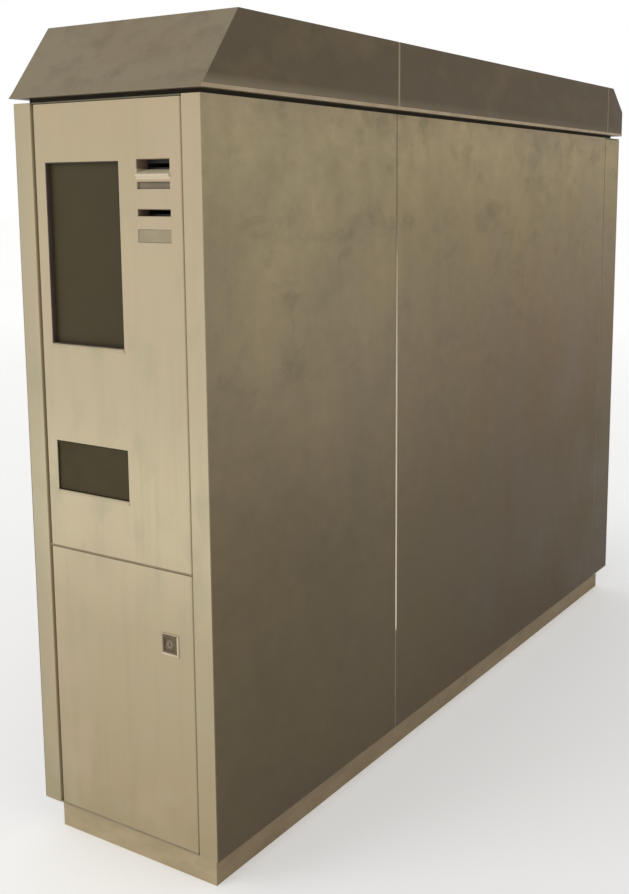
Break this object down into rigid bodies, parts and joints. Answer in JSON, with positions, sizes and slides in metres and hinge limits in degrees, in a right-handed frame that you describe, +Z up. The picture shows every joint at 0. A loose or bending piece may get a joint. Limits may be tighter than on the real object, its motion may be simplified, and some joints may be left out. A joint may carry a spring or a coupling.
{
  "type": "ticket vending machine",
  "caption": "Long narrow street cabinet with a sloped roof and plinth; its front doors carry a window, note, card and pass slots, a ticket tray and a lock.",
  "frame": {"origin": "centre of the plinth's underside, on the floor", "axes": "+Z up, front doors face -Y, the long sides face +X and -X"},
  "size_m": [0.522, 2.284, 1.802],
  "materials": {
    "plinth_paint": "satin paint, dusty",
    "front_paint": "satin sand paint",
    "frame_steel": "primer",
    "side_steel": "weathered bronze-toned brushed sheet",
    "joint_strip": "dull",
    "roof_steel": "weathered bronze-toned brushed sheet",
    "neck_dark": "matt dark paint",
    "zinc_steel": "zinc plated",
    "dark_plastic": "moulded",
    "aluminium_case": "anodised",
    "lock_metal": "cast, dark",
    "cash_paint": "powder coat",
    "window_glass": "smoked",
    "display_face": "dark screen",
    "smoked_flap": "smoked acrylic",
    "gasket_rubber": "matt",
    "ticket_paper": "thermal paper"
  },
  "bodies": {
    "cabinet": {"plinth": "plinth_paint", "base_plate": "frame_steel", "frame_uprights": "frame_steel", "frame_rails": "frame_steel", "mid_rail": "frame_steel", "corner_post_left": "front_paint", "corner_post_right": "front_paint", "side_panel_front_left": "side_steel", "side_panel_front_right": "side_steel", "side_panel_rear_left": "side_steel", "side_panel_rear_right": "side_steel", "side_joint_strips": "joint_strip", "top_plate": "frame_steel", "neck_ring": "neck_dark", "roof_front": "roof_steel", "roof_middle": "roof_steel", "roof_rear": "roof_steel", "roof_joint_bands": "roof_steel", "roof_drip_edges": "roof_steel", "fixing_bolts": "zinc_steel", "hinge_pins": "zinc_steel", "bulkhead": "frame_steel", "shelves": "frame_steel", "printer_chassis": "zinc_steel", "print_head": "dark_plastic", "coin_hopper": "dark_plastic", "cash_drop_tube": "zinc_steel", "cash_box_guide": "zinc_steel", "controller": "aluminium_case", "power_supply": "dark_plastic", "distribution_board": "aluminium_case", "batteries": "dark_plastic", "cable_gland": "dark_plastic", "fan_housing": "dark_plastic"},
    "upper_door": {"upper_door_skin": "front_paint", "window_gasket": "gasket_rubber", "window_glass": "window_glass", "display_panel": "display_face", "display_housing": "dark_plastic", "note_slot_bezel": "front_paint", "card_slot_bezel": "front_paint", "pass_slot_bezel": "front_paint", "push_plate_housing": "dark_plastic", "note_validator": "dark_plastic", "card_reader": "dark_plastic", "ticket_tray": "dark_plastic"},
    "lower_door": {"lower_door_skin": "front_paint", "front_lock_escutcheon": "lock_metal"},
    "rear_door": {"rear_door": "side_steel"},
    "tray_flap": {"tray_flap": "smoked_flap"},
    "card_shutter": {"card_shutter": "zinc_steel"},
    "push_plate": {"push_plate": "front_paint"},
    "upper_door_bolt": {"upper_door_bolt": "zinc_steel"},
    "front_lock": {"front_lock_cylinder": "zinc_steel"},
    "rear_lock": {"rear_lock_cylinder": "zinc_steel"},
    "platen_roller": {"platen_roller": "gasket_rubber"},
    "ticket_roll": {"ticket_roll": "ticket_paper"},
    "hopper_disc": {"hopper_disc": "zinc_steel"},
    "fan_rotor": {"fan_rotor": "dark_plastic"},
    "cash_box": {"cash_box": "cash_paint"}
  },
  "joints": [
    {"name": "upper_door_hinge", "type": "hinge", "parent": "cabinet", "child": "upper_door", "pos_m": [-0.192, -1.125, 1.16], "axis": [0, 0, -1], "range_deg": [0, 100]},
    {"name": "lower_door_hinge", "type": "hinge", "parent": "cabinet", "child": "lower_door", "pos_m": [-0.192, -1.125, 0.382], "axis": [0, 0, -1], "range_deg": [0, 100]},
    {"name": "rear_door_hinge", "type": "hinge", "parent": "cabinet", "child": "rear_door", "pos_m": [-0.244, 1.014, 0.855], "axis": [0, 0, 1], "range_deg": [0, 90]},
    {"name": "tray_flap_hinge", "type": "hinge", "parent": "upper_door", "child": "tray_flap", "pos_m": [-0.0645, -1.128, 0.921], "axis": [1, 0, 0], "range_deg": [0, 70]},
    {"name": "card_shutter_hinge", "type": "hinge", "parent": "upper_door", "child": "card_shutter", "pos_m": [0.13, -1.13, 1.469], "axis": [1, 0, 0], "range_deg": [0, 60], "stiffness_Nm_per_rad": 0.005},
    {"name": "push_plate_travel", "type": "slide", "parent": "upper_door", "child": "push_plate", "axis": [0, 1, 0], "range_m": [0, 0.004], "stiffness_N_per_m": 400},
    {"name": "side_bolt_travel", "type": "slide", "parent": "upper_door", "child": "upper_door_bolt", "axis": [1, 0, 0], "range_m": [0, 0.009]},
    {"name": "front_lock_turn", "type": "hinge", "parent": "lower_door", "child": "front_lock", "pos_m": [0.139, -1.12, 0.528], "axis": [0, 1, 0], "range_deg": [0, 90]},
    {"name": "rear_lock_turn", "type": "hinge", "parent": "rear_door", "child": "rear_lock", "pos_m": [0.139, 1.06, 0.8555], "axis": [0, 1, 0], "range_deg": [0, 90]},
    {"name": "ticket_roll_spin", "type": "hinge", "parent": "cabinet", "child": "ticket_roll", "pos_m": [-0.0645, -0.72, 1.032], "axis": [1, 0, 0], "continuous": true},
    {"name": "platen_spin", "type": "hinge", "parent": "cabinet", "child": "platen_roller", "pos_m": [-0.0645, -0.94, 0.952], "axis": [1, 0, 0], "continuous": true},
    {"name": "hopper_disc_spin", "type": "hinge", "parent": "cabinet", "child": "hopper_disc", "pos_m": [0.09, -0.925, 0.825], "axis": [0, 0, 1], "continuous": true},
    {"name": "fan_spin", "type": "hinge", "parent": "cabinet", "child": "fan_rotor", "pos_m": [0.09, -0.43, 1.4], "axis": [0, 1, 0], "continuous": true},
    {"name": "cash_box_slide", "type": "slide", "parent": "cabinet", "child": "cash_box", "axis": [0, -1, 0], "range_m": [0, 0.03]}
  ],
  "couplings": [
    {"joint": "platen_spin", "follows": "ticket_roll_spin", "ratio": 7.5}
  ]
}
